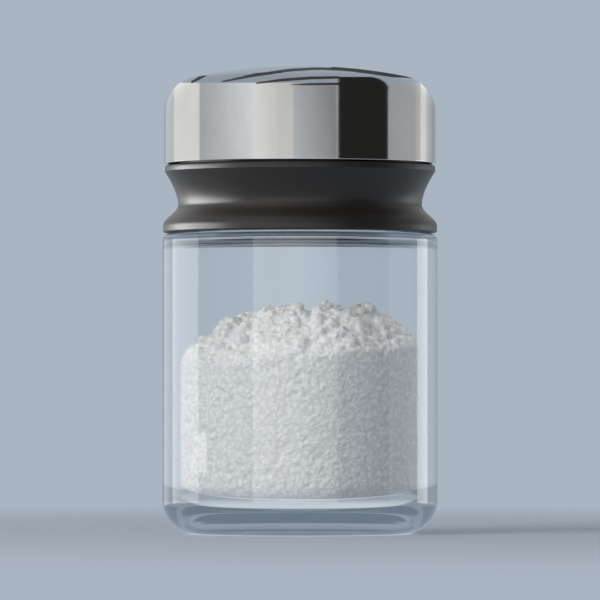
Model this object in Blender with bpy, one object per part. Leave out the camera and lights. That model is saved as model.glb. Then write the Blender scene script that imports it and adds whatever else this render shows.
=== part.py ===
"""Fine mesh shaker: thick glass jar, screwed-on plastic collar, perforated sieve and pull-off steel cap.

Metres, +Z up. The origin is the middle of the face that the jar stands on. Every joint axis is the Z axis.
Heights in a piece are measured from the empty that carries it: the table, the collar's foot or the cap's rim.
"""

import math

import bmesh
import bpy

TOTAL_HEIGHT = 0.095
GAP = 0.0003
TURN_STEPS = 48
RING_STEPS = 40
SIEVE_STEPS = 32
LARGE_ARC_STEPS = 5
ARC_STEPS = 3
SMALL_ARC_STEPS = 2
MERGE_DISTANCE = 1e-6
SHARP_ANGLE = math.radians(35)

# Glass jar
JAR_RADIUS = 0.028
JAR_WALL = 0.0034
JAR_FLOOR = 0.0055
JAR_BASE_CORNER = 0.0068
JAR_INNER_CORNER = 0.0048
PUNT_RADIUS = 0.0148
PUNT_DEPTH = 0.0008
SHOULDER_HEIGHT = 0.0609
SHOULDER_CORNER = 0.0013
SHOULDER_THICKNESS = 0.0020
CEILING_CORNER = 0.0012
NECK_RADIUS = 0.0208
MOUTH_RADIUS = 0.0181
MOUTH_ROUNDING = 0.0006
RIM_HEIGHT = 0.0721
RIM_CHAMFER = 0.0007

# Two-start screw thread between the jar's neck and the collar, right-handed
THREAD_STARTS = 2
THREAD_LEAD = 0.008
THREAD_DEPTH = 0.0012
THREAD_ROOT = 0.0020
THREAD_CREST = 0.0010
THREAD_BITE = 0.0005
THREAD_CLEARANCE = 0.0004
THREAD_START = 0.0633
JAR_THREAD_TURNS = 0.625
COLLAR_THREAD_DROP = 0.0017
COLLAR_THREAD_FROM_TURN = 0.125
COLLAR_THREAD_TURNS = 0.5

# Sealing ring on the jar's rim
SEAL_THICKNESS = 0.0012
SEAL_INNER_RADIUS = 0.0185
SEAL_CHAMFER = 0.0002

# Collar
COLLAR_FOOT = SHOULDER_HEIGHT + GAP
FLANGE_RADIUS = 0.0279
FLANGE_EDGE = 0.0003
FLARE_HEIGHT = 0.0056
FLARE_STEPS = 6
WAIST_RADIUS = 0.0248
WAIST_HEIGHT = 0.0059
WAIST_POWER = 1.6
LIP_RADIUS = 0.0275
LIP_FOOT = 0.0124
SPIGOT_RADIUS = 0.0245
SPIGOT_TOP = 0.0220
SPIGOT_CHAMFER = 0.0006
GROOVE_FOOT = 0.0175
GROOVE_WIDTH = 0.0020
GROOVE_DEPTH = 0.0010
SIEVE_SEAT_RADIUS = 0.0224
SIEVE_SEAT_HEIGHT = 0.0172
BORE_RADIUS = 0.0188

# Sieve, a stainless steel sheet pressed into a low dome
SIEVE_SHEET = 0.0005
SIEVE_DOME_RADIUS = 0.0182
SIEVE_DOME_RISE = 0.0030
HOLE_RADIUS = 0.0005
HOLE_SPACING = 0.0027
HOLE_RINGS = 6
HOLE_SIDES = 6

# Ring that holds the sieve on its seat
CLAMP_FOOT_INNER_RADIUS = 0.0192
CLAMP_TOP_INNER_RADIUS = 0.0205

# Soft ring that grips the cap
GRIP_PROUD = 0.0003
GRIP_CHAMFER = 0.0003

# Steel cap and its liner
CAP_FOOT = 0.0752
CAP_RADIUS = 0.0277
CAP_SHEET = 0.0008
CAP_EDGE_RADIUS = 0.0075
CAP_DOME_RADIUS = 0.110
LINER_FOOT = 0.0006
LINER_WALL = 0.0014
LINER_GAP = 0.0004
LINER_ROOF_TOP = 0.0152

# Icing sugar in the jar, heaped a little to the right and lowest at the left
SUGAR_STEPS = 40
SUGAR_RINGS = 6
SUGAR_WALL_HEIGHT = 0.0348
SUGAR_RISE = 0.0109
SUGAR_MIDDLE = 0.0038
SUGAR_FLAT = 0.40
SUGAR_SLIDE_END = 1.15
SUGAR_SLIDE_POWER = 1.5
SUGAR_LUMP = 0.0005
SUGAR_LUMP_WAVES = 5

# Colours, linear
GLASS_COLOR = (0.93, 0.96, 0.97)
SUGAR_COLOR = (0.90, 0.90, 0.89)
SEAL_COLOR = (0.075, 0.075, 0.078)
BLACK_PLASTIC_COLOR = (0.022, 0.019, 0.018)
STEEL_COLOR = (0.66, 0.65, 0.64)


def clear_scene():
    for obj in list(bpy.data.objects):
        bpy.data.objects.remove(obj, do_unlink=True)


def make_material(name, color, roughness, metallic=0.0, transmission=0.0):
    material = bpy.data.materials.new(name)
    material.use_nodes = True
    shader = material.node_tree.nodes["Principled BSDF"]
    shader.inputs["Base Color"].default_value = (*color, 1.0)
    shader.inputs["Roughness"].default_value = roughness
    shader.inputs["Metallic"].default_value = metallic
    shader.inputs["Transmission Weight"].default_value = transmission
    return material


def make_empty(name, height, parent=None):
    """An empty on the Z axis, at a height above the table."""
    empty = bpy.data.objects.new(name, None)
    bpy.context.collection.objects.link(empty)
    empty.parent = parent
    carried_at = parent.location.z if parent else 0.0
    empty.location.z = height - carried_at
    return empty


def make_object(name, bm, parent, material=None):
    """Finishes a bmesh as a smooth-shaded object carried by an empty."""
    bmesh.ops.remove_doubles(bm, verts=bm.verts, dist=MERGE_DISTANCE)
    bmesh.ops.recalc_face_normals(bm, faces=bm.faces)
    mesh = bpy.data.meshes.new(name)
    bm.to_mesh(mesh)
    bm.free()
    mesh.shade_smooth()
    mesh.set_sharp_from_angle(angle=SHARP_ANGLE)
    if material:
        mesh.materials.append(material)
    obj = bpy.data.objects.new(name, mesh)
    bpy.context.collection.objects.link(obj)
    obj.parent = parent
    return obj


def make_helper(name, bm, parent):
    """An object that only serves a Boolean of another piece."""
    helper = make_object(name, bm, parent)
    helper.hide_render = True
    helper.display_type = "WIRE"
    return helper


def add_boolean(obj, operation, helper):
    boolean = obj.modifiers.new(helper.name, "BOOLEAN")
    boolean.operation = operation
    boolean.solver = "EXACT"
    boolean.object = helper


def arc(center_radius, center_height, radius, start, end, steps):
    """Points on an arc in the outline's plane, with angles in degrees from the outward direction."""
    angles = [math.radians(start + (end - start) * i / steps) for i in range(steps + 1)]
    return [
        (center_radius + radius * math.cos(a), center_height + radius * math.sin(a))
        for a in angles
    ]


def dome(edge_radius, rise, foot, steps):
    """Points of a shallow dome, from its top on the axis down to its edge."""
    sphere = (edge_radius**2 + rise**2) / (2 * rise)
    edge_angle = math.degrees(math.acos(edge_radius / sphere))
    points = arc(0.0, foot + rise - sphere, sphere, 90, edge_angle, steps)
    return [(0.0, foot + rise)] + points[1:]


def turned(name, outline, parent, material, steps=TURN_STEPS):
    """A solid of revolution. Its (radius, height) points run from axis to axis, or close on themselves."""
    bm = bmesh.new()
    points = [bm.verts.new((radius, 0.0, height)) for radius, height in outline]
    edges = [bm.edges.new(pair) for pair in zip(points, points[1:])]
    if outline[0][0] > 0:
        edges.append(bm.edges.new((points[-1], points[0])))
    bmesh.ops.spin(
        bm, geom=points + edges, cent=(0, 0, 0), axis=(0, 0, 1), angle=math.tau, steps=steps, use_merge=True
    )
    return make_object(name, bm, parent, material)


def thread_ridge(name, root_radius, outward, start_height, from_turn, turns, phase, parent):
    """A helical ridge of trapezoid section, standing outward (+1) or inward (-1) from a round wall."""
    section = [
        (root_radius - outward * THREAD_BITE, -THREAD_ROOT / 2),
        (root_radius, -THREAD_ROOT / 2),
        (root_radius + outward * THREAD_DEPTH, -THREAD_CREST / 2),
        (root_radius + outward * THREAD_DEPTH, THREAD_CREST / 2),
        (root_radius, THREAD_ROOT / 2),
        (root_radius - outward * THREAD_BITE, THREAD_ROOT / 2),
    ]
    angle = math.tau * (from_turn + phase)
    height = start_height + THREAD_LEAD * from_turn
    bm = bmesh.new()
    points = [
        bm.verts.new((radius * math.cos(angle), radius * math.sin(angle), height + offset))
        for radius, offset in section
    ]
    edges = [bm.edges.new((points[i - 1], points[i])) for i in range(len(points))]
    bmesh.ops.spin(
        bm,
        geom=points + edges,
        cent=(0, 0, 0),
        axis=(0, 0, 1),
        dvec=(0, 0, THREAD_LEAD / TURN_STEPS),
        angle=math.tau * turns,
        steps=round(TURN_STEPS * turns),
    )
    bmesh.ops.holes_fill(bm, edges=[e for e in bm.edges if e.is_boundary], sides=0)
    return make_helper(name, bm, parent)


def add_thread(obj, root_radius, outward, start_height, from_turn, turns):
    """Joins one ridge for each start of the thread to a neck or a skirt."""
    for start in range(THREAD_STARTS):
        name = f"{obj.name}_ridge_{start + 1}"
        phase = start / THREAD_STARTS
        ridge = thread_ridge(name, root_radius, outward, start_height, from_turn, turns, phase, obj.parent)
        add_boolean(obj, "UNION", ridge)


def glass_jar(parent, material):
    cavity_radius = JAR_RADIUS - JAR_WALL
    ceiling = SHOULDER_HEIGHT - SHOULDER_THICKNESS
    base_flat = JAR_RADIUS - JAR_BASE_CORNER
    floor_flat = cavity_radius - JAR_INNER_CORNER
    shoulder_flat = JAR_RADIUS - SHOULDER_CORNER
    shoulder_foot = SHOULDER_HEIGHT - SHOULDER_CORNER
    outside = dome(PUNT_RADIUS, PUNT_DEPTH, 0.0, SMALL_ARC_STEPS)
    outside += arc(base_flat, JAR_BASE_CORNER, JAR_BASE_CORNER, -90, 0, LARGE_ARC_STEPS)
    outside += arc(shoulder_flat, shoulder_foot, SHOULDER_CORNER, 0, 90, SMALL_ARC_STEPS)
    neck = [
        (NECK_RADIUS, SHOULDER_HEIGHT),
        (NECK_RADIUS, RIM_HEIGHT - RIM_CHAMFER),
        (NECK_RADIUS - RIM_CHAMFER, RIM_HEIGHT),
        (MOUTH_RADIUS + RIM_CHAMFER, RIM_HEIGHT),
        (MOUTH_RADIUS, RIM_HEIGHT - RIM_CHAMFER),
    ]
    mouth_center = MOUTH_RADIUS + MOUTH_ROUNDING
    ceiling_flat = cavity_radius - CEILING_CORNER
    inside = arc(mouth_center, ceiling + MOUTH_ROUNDING, MOUTH_ROUNDING, 180, 270, SMALL_ARC_STEPS)
    inside += arc(ceiling_flat, ceiling - CEILING_CORNER, CEILING_CORNER, 90, 0, ARC_STEPS)
    inside += arc(floor_flat, JAR_FLOOR + JAR_INNER_CORNER, JAR_INNER_CORNER, 0, -90, LARGE_ARC_STEPS)
    inside.append((0.0, JAR_FLOOR))
    jar = turned("glass_jar", outside + neck + inside, parent, material)
    add_thread(jar, NECK_RADIUS, 1, THREAD_START, 0.0, JAR_THREAD_TURNS)
    return jar


def washer(name, inner_radius, outer_radius, foot, top, chamfer, parent, material):
    """A flat ring with chamfered outer edges."""
    outline = [
        (inner_radius, foot),
        (outer_radius - chamfer, foot),
        (outer_radius, foot + chamfer),
        (outer_radius, top - chamfer),
        (outer_radius - chamfer, top),
        (inner_radius, top),
    ]
    return turned(name, outline, parent, material, RING_STEPS)


def neck_seal(parent, material):
    foot = RIM_HEIGHT + GAP - COLLAR_FOOT
    top = foot + SEAL_THICKNESS
    return washer("neck_seal", SEAL_INNER_RADIUS, NECK_RADIUS, foot, top, SEAL_CHAMFER, parent, material)


def grip_radius(height):
    """The collar's grip: a waist that opens to the lip above it and flares in a soft S to the flange."""
    if height >= WAIST_HEIGHT:
        share = (height - WAIST_HEIGHT) / (LIP_FOOT - WAIST_HEIGHT)
        return WAIST_RADIUS + (LIP_RADIUS - WAIST_RADIUS) * share**WAIST_POWER
    share = max(0.0, 1 - height / FLARE_HEIGHT)
    return WAIST_RADIUS + (FLANGE_RADIUS - WAIST_RADIUS) * (1 - math.cos(math.pi * share)) / 2


def collar_outline(skirt_radius):
    lip_top = CAP_FOOT - GAP - COLLAR_FOOT
    web_height = RIM_HEIGHT + SEAL_THICKNESS + 2 * GAP - COLLAR_FOOT
    flare_step = (FLARE_HEIGHT - FLANGE_EDGE) / FLARE_STEPS
    waist_step = (LIP_FOOT - WAIST_HEIGHT) / LARGE_ARC_STEPS
    heights = [FLANGE_EDGE + flare_step * i for i in range(FLARE_STEPS + 1)]
    heights += [WAIST_HEIGHT + waist_step * i for i in range(LARGE_ARC_STEPS + 1)]
    grip = [(FLANGE_RADIUS - FLANGE_EDGE, 0.0)]
    grip += [(grip_radius(height), height) for height in heights]
    groove_top = GROOVE_FOOT + GROOVE_WIDTH
    spigot = [
        (LIP_RADIUS, lip_top),
        (SPIGOT_RADIUS, lip_top),
        (SPIGOT_RADIUS, GROOVE_FOOT),
        (SPIGOT_RADIUS - GROOVE_DEPTH, GROOVE_FOOT),
        (SPIGOT_RADIUS - GROOVE_DEPTH, groove_top),
        (SPIGOT_RADIUS, groove_top),
        (SPIGOT_RADIUS, SPIGOT_TOP - SPIGOT_CHAMFER),
        (SPIGOT_RADIUS - SPIGOT_CHAMFER, SPIGOT_TOP),
    ]
    inside = [
        (SIEVE_SEAT_RADIUS, SPIGOT_TOP),
        (SIEVE_SEAT_RADIUS, SIEVE_SEAT_HEIGHT),
        (BORE_RADIUS, SIEVE_SEAT_HEIGHT),
        (BORE_RADIUS, web_height),
        (skirt_radius, web_height),
        (skirt_radius, 0.0),
    ]
    return grip + spigot + inside


def screw_collar(parent, material):
    skirt_radius = NECK_RADIUS + THREAD_DEPTH + THREAD_CLEARANCE
    collar = turned("screw_collar", collar_outline(skirt_radius), parent, material)
    start = THREAD_START - COLLAR_THREAD_DROP - COLLAR_FOOT
    add_thread(collar, skirt_radius, -1, start, COLLAR_THREAD_FROM_TURN, COLLAR_THREAD_TURNS)
    return collar


def hole_places():
    """The holes' middles, on a triangular lattice that fills a hexagon."""
    row_spacing = HOLE_SPACING * math.sqrt(3) / 2
    for row in range(-HOLE_RINGS, HOLE_RINGS + 1):
        count = 2 * HOLE_RINGS + 1 - abs(row)
        for column in range(count):
            yield (column - (count - 1) / 2) * HOLE_SPACING, row * row_spacing


def sieve_hole_cutter(foot, parent):
    margin = SIEVE_SHEET
    depth = SIEVE_DOME_RISE + SIEVE_SHEET + 2 * margin
    cutter = bmesh.new()
    for x, y in hole_places():
        made = bmesh.ops.create_cone(
            cutter, cap_ends=True, segments=HOLE_SIDES, radius1=HOLE_RADIUS, radius2=HOLE_RADIUS, depth=depth
        )
        bmesh.ops.translate(cutter, verts=made["verts"], vec=(x, y, foot + depth / 2 - margin))
    return make_helper("sieve_hole_cutter", cutter, parent)


def sieve(parent, material):
    foot = SIEVE_SEAT_HEIGHT + GAP
    rim_radius = SIEVE_SEAT_RADIUS - GAP
    under = dome(SIEVE_DOME_RADIUS, SIEVE_DOME_RISE, foot, ARC_STEPS)
    over = dome(SIEVE_DOME_RADIUS, SIEVE_DOME_RISE, foot + SIEVE_SHEET, ARC_STEPS)
    rim = [(rim_radius, foot), (rim_radius, foot + SIEVE_SHEET)]
    disc = turned("sieve", under + rim + over[::-1], parent, material, SIEVE_STEPS)
    add_boolean(disc, "DIFFERENCE", sieve_hole_cutter(foot, parent))
    return disc


def sieve_clamp_ring(parent, material):
    foot = SIEVE_SEAT_HEIGHT + SIEVE_SHEET + 2 * GAP
    outer_radius = SIEVE_SEAT_RADIUS - GAP
    outline = [
        (CLAMP_FOOT_INNER_RADIUS, foot),
        (outer_radius, foot),
        (outer_radius, SPIGOT_TOP),
        (CLAMP_TOP_INNER_RADIUS, SPIGOT_TOP),
    ]
    return turned("sieve_clamp_ring", outline, parent, material, RING_STEPS)


def cap_grip_ring(parent, material):
    foot = GROOVE_FOOT + GAP
    top = GROOVE_FOOT + GROOVE_WIDTH - GAP
    inner_radius = SPIGOT_RADIUS - GROOVE_DEPTH + GAP
    outer_radius = SPIGOT_RADIUS + GRIP_PROUD
    return washer("cap_grip_ring", inner_radius, outer_radius, foot, top, GRIP_CHAMFER, parent, material)


def cap_edge():
    """Where the cap's rounded edge is centred, and the slope in degrees at which its dome runs into it."""
    center_radius = CAP_RADIUS - CAP_EDGE_RADIUS
    slope = math.asin(center_radius / (CAP_DOME_RADIUS - CAP_EDGE_RADIUS))
    dome_center = TOTAL_HEIGHT - CAP_FOOT - CAP_DOME_RADIUS
    center_height = dome_center + (CAP_DOME_RADIUS - CAP_EDGE_RADIUS) * math.cos(slope)
    return center_radius, center_height, 90 - math.degrees(slope), dome_center


def cap_skin(inset):
    """One face of the steel sheet, from the rim up over the rounded edge to the top of the dome."""
    center_radius, center_height, edge_end, dome_center = cap_edge()
    skin = [(CAP_RADIUS - inset, 0.0)]
    skin += arc(center_radius, center_height, CAP_EDGE_RADIUS - inset, 0, edge_end, LARGE_ARC_STEPS)
    skin += arc(0.0, dome_center, CAP_DOME_RADIUS - inset, edge_end, 90, ARC_STEPS)[1:-1]
    skin.append((0.0, dome_center + CAP_DOME_RADIUS - inset))
    return skin


def cap_shell(parent, material):
    outline = cap_skin(0.0)[::-1] + cap_skin(CAP_SHEET)
    return turned("cap_shell", outline, parent, material)


def cap_liner(parent, material):
    center_radius, center_height, _, _ = cap_edge()
    outer_edge = CAP_EDGE_RADIUS - CAP_SHEET - LINER_GAP
    inner_edge = outer_edge - LINER_WALL
    roof_underside = LINER_ROOF_TOP - LINER_WALL
    outer_end = math.degrees(math.asin((LINER_ROOF_TOP - center_height) / outer_edge))
    inner_end = math.degrees(math.asin((roof_underside - center_height) / inner_edge))
    outline = [(0.0, LINER_ROOF_TOP)]
    outline += arc(center_radius, center_height, outer_edge, outer_end, 0, ARC_STEPS)
    outline += [(center_radius + outer_edge, LINER_FOOT), (center_radius + inner_edge, LINER_FOOT)]
    outline += arc(center_radius, center_height, inner_edge, 0, inner_end, ARC_STEPS)
    outline.append((0.0, roof_underside))
    return turned("cap_liner", outline, parent, material)


def sugar_height(x, y, reach):
    """The heap's surface: a flat-topped mound that has slid down to the glass, with gentle lumps."""
    far = math.hypot(x - SUGAR_MIDDLE, y) / reach
    slide = min(1.0, max(0.0, (far - SUGAR_FLAT) / (SUGAR_SLIDE_END - SUGAR_FLAT)))
    mound = SUGAR_RISE * (1 - slide**SUGAR_SLIDE_POWER)
    lumps = SUGAR_LUMP * math.sin(SUGAR_LUMP_WAVES * x / reach) * math.cos(SUGAR_LUMP_WAVES * y / reach)
    return SUGAR_WALL_HEIGHT + mound + lumps


def sugar_fill(parent, material):
    reach = JAR_RADIUS - JAR_WALL - GAP
    foot = JAR_FLOOR + GAP
    corner = JAR_INNER_CORNER - GAP
    side = arc(reach - corner, foot + corner, corner, -90, 0, ARC_STEPS)
    side.append((reach, SUGAR_WALL_HEIGHT))
    top = [(reach * (SUGAR_RINGS - i) / SUGAR_RINGS, SUGAR_WALL_HEIGHT) for i in range(1, SUGAR_RINGS + 1)]
    outline = [(0.0, foot)] + side + top
    heap = turned("sugar_fill", outline, parent, material, SUGAR_STEPS)
    for vertex in heap.data.vertices:
        if vertex.co.z > SUGAR_WALL_HEIGHT - MERGE_DISTANCE:
            vertex.co.z = sugar_height(vertex.co.x, vertex.co.y, reach)
    return heap


def main():
    clear_scene()
    jar_body = make_empty("jar_body", 0.0)
    collar_body = make_empty("collar_body", COLLAR_FOOT, jar_body)
    cap_body = make_empty("cap_body", CAP_FOOT, collar_body)

    glass_jar(jar_body, make_material("clear_glass", GLASS_COLOR, roughness=0.02, transmission=1.0))
    sugar_fill(jar_body, make_material("icing_sugar", SUGAR_COLOR, roughness=0.95))
    neck_seal(collar_body, make_material("neck_seal_rubber", SEAL_COLOR, roughness=0.60))
    screw_collar(collar_body, make_material("collar_plastic", BLACK_PLASTIC_COLOR, roughness=0.38))
    sieve(collar_body, make_material("sieve_steel", STEEL_COLOR, roughness=0.28, metallic=1.0))
    sieve_clamp_ring(collar_body, make_material("clamp_plastic", BLACK_PLASTIC_COLOR, roughness=0.45))
    cap_grip_ring(collar_body, make_material("grip_ring_rubber", SEAL_COLOR, roughness=0.55))
    cap_shell(cap_body, make_material("polished_steel", STEEL_COLOR, roughness=0.08, metallic=1.0))
    cap_liner(cap_body, make_material("liner_plastic", BLACK_PLASTIC_COLOR, roughness=0.50))


main()
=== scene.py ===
import math
import random

import bpy
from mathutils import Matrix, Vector, noise


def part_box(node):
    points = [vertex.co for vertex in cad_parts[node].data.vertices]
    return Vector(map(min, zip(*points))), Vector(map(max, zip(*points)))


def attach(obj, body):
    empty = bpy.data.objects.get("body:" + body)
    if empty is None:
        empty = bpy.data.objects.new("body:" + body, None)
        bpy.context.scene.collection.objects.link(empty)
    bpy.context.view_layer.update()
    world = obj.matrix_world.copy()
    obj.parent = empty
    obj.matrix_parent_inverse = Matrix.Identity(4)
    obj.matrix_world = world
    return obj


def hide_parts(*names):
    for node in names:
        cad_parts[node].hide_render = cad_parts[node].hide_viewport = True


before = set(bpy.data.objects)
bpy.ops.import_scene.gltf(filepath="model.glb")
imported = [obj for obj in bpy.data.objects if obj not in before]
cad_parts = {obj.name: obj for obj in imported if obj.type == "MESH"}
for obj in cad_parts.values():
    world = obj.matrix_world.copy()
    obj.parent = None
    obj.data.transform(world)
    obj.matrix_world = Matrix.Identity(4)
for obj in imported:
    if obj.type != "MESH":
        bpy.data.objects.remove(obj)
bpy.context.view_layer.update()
mm = 0.001
weldGap = 0.001 * mm


# small modelling helpers

def clearSelection():
    if bpy.context.object and bpy.context.object.mode != "OBJECT":
        bpy.ops.object.mode_set(mode="OBJECT")
    bpy.ops.object.select_all(action="DESELECT")


def pickOnly(piece):
    clearSelection()
    piece.select_set(True)
    bpy.context.view_layer.objects.active = piece


def arcPoints(middle, radius, fromAngle, toAngle, steps):
    angles = [math.radians(fromAngle + (toAngle - fromAngle) * i / steps) for i in range(steps + 1)]
    return [(middle[0] + radius * math.cos(a), middle[1] + radius * math.sin(a)) for a in angles]


def drawLine(name, points):
    # a plane merged to one vertex, then extruded along the outline (radius, height) in the XZ plane
    clearSelection()
    bpy.ops.mesh.primitive_plane_add(size=mm)
    piece = bpy.context.object
    piece.name = piece.data.name = name
    bpy.ops.object.mode_set(mode="EDIT")
    bpy.ops.mesh.select_all(action="SELECT")
    bpy.ops.mesh.merge(type="CENTER")
    bpy.ops.transform.translate(value=(points[0][0], 0, points[0][1]))
    for start, end in zip(points, points[1:]):
        step = (end[0] - start[0], 0, end[1] - start[1])
        bpy.ops.mesh.extrude_region_move(TRANSFORM_OT_translate={"value": step})
    return piece


def closeMesh(piece, sharpAngle):
    bpy.ops.mesh.select_all(action="SELECT")
    bpy.ops.mesh.remove_doubles(threshold=weldGap)
    bpy.ops.mesh.normals_make_consistent(inside=False)
    bpy.ops.object.mode_set(mode="OBJECT")
    pickOnly(piece)
    bpy.ops.object.shade_smooth_by_angle(angle=math.radians(sharpAngle))


def heldOutline(points, hold=0.02 * mm):
    # a point close to each end of a long straight run keeps its shading flat
    longRun = 50 * hold
    line = [points[0]]
    for start, end in zip(points, points[1:]):
        run = Vector(end) - Vector(start)
        if run.length > longRun:
            step = run.normalized() * hold
            line += [tuple(Vector(start) + step), tuple(Vector(end) - step)]
        line.append(end)
    return line


def turnPiece(name, points, steps, sharpAngle=40):
    piece = drawLine(name, heldOutline(points))
    bpy.ops.mesh.select_all(action="SELECT")
    bpy.ops.mesh.spin(steps=steps, angle=math.tau, center=(0, 0, 0), axis=(0, 0, 1))
    closeMesh(piece, sharpAngle)
    return piece


def applyModifier(piece, kind, **settings):
    pickOnly(piece)
    modifier = piece.modifiers.new(kind.lower(), kind)
    for key, value in settings.items():
        setattr(modifier, key, value)
    bpy.ops.object.modifier_apply(modifier=modifier.name)


def fitPiece(piece, body, node, material):
    piece.data.materials.clear()
    piece.data.materials.append(material)
    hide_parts(node)
    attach(piece, body)
    print("piece:", piece.name, len(piece.data.polygons), "faces")


# shader maths: a socket that can be added, multiplied and so on

class Wire:
    def __init__(self, tree, socket):
        self.tree = tree
        self.socket = socket

    def add(self, kind, settings, sockets, output=0):
        node = self.tree.nodes.new("ShaderNode" + kind)
        for key, value in settings.items():
            if key == "stops":
                for i, (place, color) in enumerate(value):
                    stop = node.color_ramp.elements[i] if i < 2 else node.color_ramp.elements.new(place)
                    stop.position = place
                    stop.color = (*color, 1) if isinstance(color, tuple) else (color, color, color, 1)
            else:
                setattr(node, key, value)
        for key, value in sockets.items():
            if isinstance(value, Wire):
                self.tree.links.new(value.socket, node.inputs[key])
            else:
                node.inputs[key].default_value = value
        return Wire(self.tree, node.outputs[output])

    def math(self, operation, first, second):
        return self.add("Math", {"operation": operation}, {0: first, 1: second})

    def __add__(self, other):
        return self.math("ADD", self, other)

    def __radd__(self, other):
        return self.math("ADD", other, self)

    def __sub__(self, other):
        return self.math("SUBTRACT", self, other)

    def __rsub__(self, other):
        return self.math("SUBTRACT", other, self)

    def __mul__(self, other):
        return self.math("MULTIPLY", self, other)

    def __rmul__(self, other):
        return self.math("MULTIPLY", other, self)

    def noise(self, scale, detail=4.0, roughness=0.55):
        sockets = {"Vector": self, "Scale": scale, "Detail": detail, "Roughness": roughness}
        return self.add("TexNoise", {}, sockets)

    def cells(self, scale):
        # distance from the middles of irregular cells, as between packed grains
        return self.add("TexVoronoi", {}, {"Vector": self, "Scale": scale})

    def stretched(self, scale):
        return self.add("Mapping", {}, {"Vector": self, "Scale": scale})

    def ramp(self, *stops):
        return self.add("ValToRGB", {"stops": stops}, {"Fac": self})

    def ease(self, low, high, atLow=0.0, atHigh=1.0):
        # a soft step from one value to the other
        sockets = {"Value": self, "From Min": low, "From Max": high, "To Min": atLow, "To Max": atHigh}
        return self.add("MapRange", {"interpolation_type": "SMOOTHSTEP"}, sockets)

    def bump(self, strength, distance):
        return self.add("Bump", {}, {"Height": self, "Strength": strength, "Distance": distance})

    def mixColor(self, first, second):
        # the mask picks between two colours
        rgba = [(*c, 1) if isinstance(c, tuple) else c for c in (first, second)]
        return self.add("Mix", {"data_type": "RGBA"}, {0: self, 6: rgba[0], 7: rgba[1]}, output=2)


def newMaterial(name):
    material = bpy.data.materials.new(name)
    material.use_nodes = True
    tree = material.node_tree
    shader = tree.nodes["Principled BSDF"]
    coords = tree.nodes.new("ShaderNodeTexCoord")
    return material, shader, Wire(tree, coords.outputs["Object"])


def setShader(shader, **sockets):
    for key, value in sockets.items():
        socket = shader.inputs[key.replace("_", " ")]
        if isinstance(value, Wire):
            value.tree.links.new(value.socket, socket)
        elif isinstance(value, tuple) and len(value) == 3 and socket.type == "RGBA":
            socket.default_value = (*value, 1)
        else:
            socket.default_value = value


# finishes

polishedSteel = {
    "color": (0.66, 0.655, 0.645),
    "dull": (0.60, 0.60, 0.595),
    "roughness": 0.045,
    "smear": 0.05,
    "hairlineGloss": 0.02,
    "cloudScale": 90,
    "smearScale": 260,
    "hairlineScale": 1500,
}


def makePolishedSteel(look):
    material, shader, coords = newMaterial("polishedSteel")
    cloud = coords.noise(look["cloudScale"], 3)
    smear = coords.stretched((1, 1, 0.35)).noise(look["smearScale"], 5, 0.6)
    hairlines = coords.stretched((1, 1, 14)).noise(look["hairlineScale"], 2, 0.7)
    wiped = (cloud * smear).ramp((0.18, 0.0), (0.42, 1.0))
    setShader(
        shader,
        Metallic=1.0,
        Base_Color=wiped.mixColor(look["color"], look["dull"]),
        Roughness=look["roughness"] + wiped * look["smear"] + hairlines * look["hairlineGloss"],
        Normal=hairlines.bump(0.05, 0.02 * mm),
    )
    return material


blackPlastic = {
    "color": (0.0130, 0.0098, 0.0080),
    "pale": (0.025, 0.020, 0.017),
    "roughness": 0.33,
    "ior": 1.46,
    "grainScale": 2600,
    "cloudScale": 120,
    "scuffScale": 420,
}


def makeBlackPlastic(name, look):
    material, shader, coords = newMaterial(name)
    grain = coords.noise(look["grainScale"], 3, 0.6)
    cloud = coords.noise(look["cloudScale"], 4)
    scuff = coords.stretched((1, 1, 8)).noise(look["scuffScale"], 4, 0.65).ramp((0.55, 0.0), (0.75, 1.0))
    setShader(
        shader,
        Base_Color=(cloud * 0.6 + scuff * 0.25).mixColor(look["color"], look["pale"]),
        Roughness=look["roughness"] + cloud * 0.10 + scuff * 0.08,
        Normal=grain.bump(0.16, 0.06 * mm),
        IOR=look["ior"],
    )
    return material


clearGlass = {
    "tint": (0.975, 0.988, 0.990),
    "shade": (0.955, 0.962, 0.962),
    # a painted pale glow that the glass shows to rays turned round inside it, and how much of it shows
    "paintedGlow": (0.16, 0.205, 0.26),
    "paintedGlowShare": 0.33,
    "ior": 1.50,
    "waveScale": 55,
    "waveDepth": 0.35 * mm,
}


def makeClearGlass(look):
    material, shader, coords = newMaterial("clearGlass")
    waves = coords.stretched((1, 1, 0.45)).noise(look["waveScale"], 1.0, 0.4)
    setShader(
        shader,
        Base_Color=look["tint"],
        Roughness=0.0,
        IOR=look["ior"],
        Transmission_Weight=1.0,
        Normal=waves.bump(0.10, look["waveDepth"]),
    )
    # lamps and soft light reach what is inside, and rays that turn round in the thick base meet a painted
    # pale glow that keeps it pale
    tree = material.node_tree
    glass = Wire(tree, shader.outputs[0])
    clear = glass.add("BsdfTransparent", {}, {"Color": (*look["shade"], 1)})
    # painted glow: an emission in the glass, standing in for light, though the glass is no lamp
    paintedGlow = glass.add("Emission", {}, {"Color": (*look["paintedGlow"], 1)})
    turned = glass.add("MixShader", {}, {0: look["paintedGlowShare"], 1: glass, 2: paintedGlow})
    path = tree.nodes.new("ShaderNodeLightPath")
    surface = glass
    for ray, seen in (("Is Reflection Ray", turned), ("Is Shadow Ray", clear), ("Is Diffuse Ray", clear)):
        surface = surface.add("MixShader", {}, {0: Wire(tree, path.outputs[ray]), 1: surface, 2: seen})
    tree.links.new(surface.socket, tree.nodes["Material Output"].inputs["Surface"])
    return material


icingSugar = {
    "color": (0.88, 0.873, 0.858),
    # the darker grey painted into the hollows between grains as shade
    "pitShade": (0.71, 0.71, 0.70),
    "grainScale": 2300,
    "crumbScale": 1050,
    "powderScale": 3400,
    "relief": 0.5 * mm,
}


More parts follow.
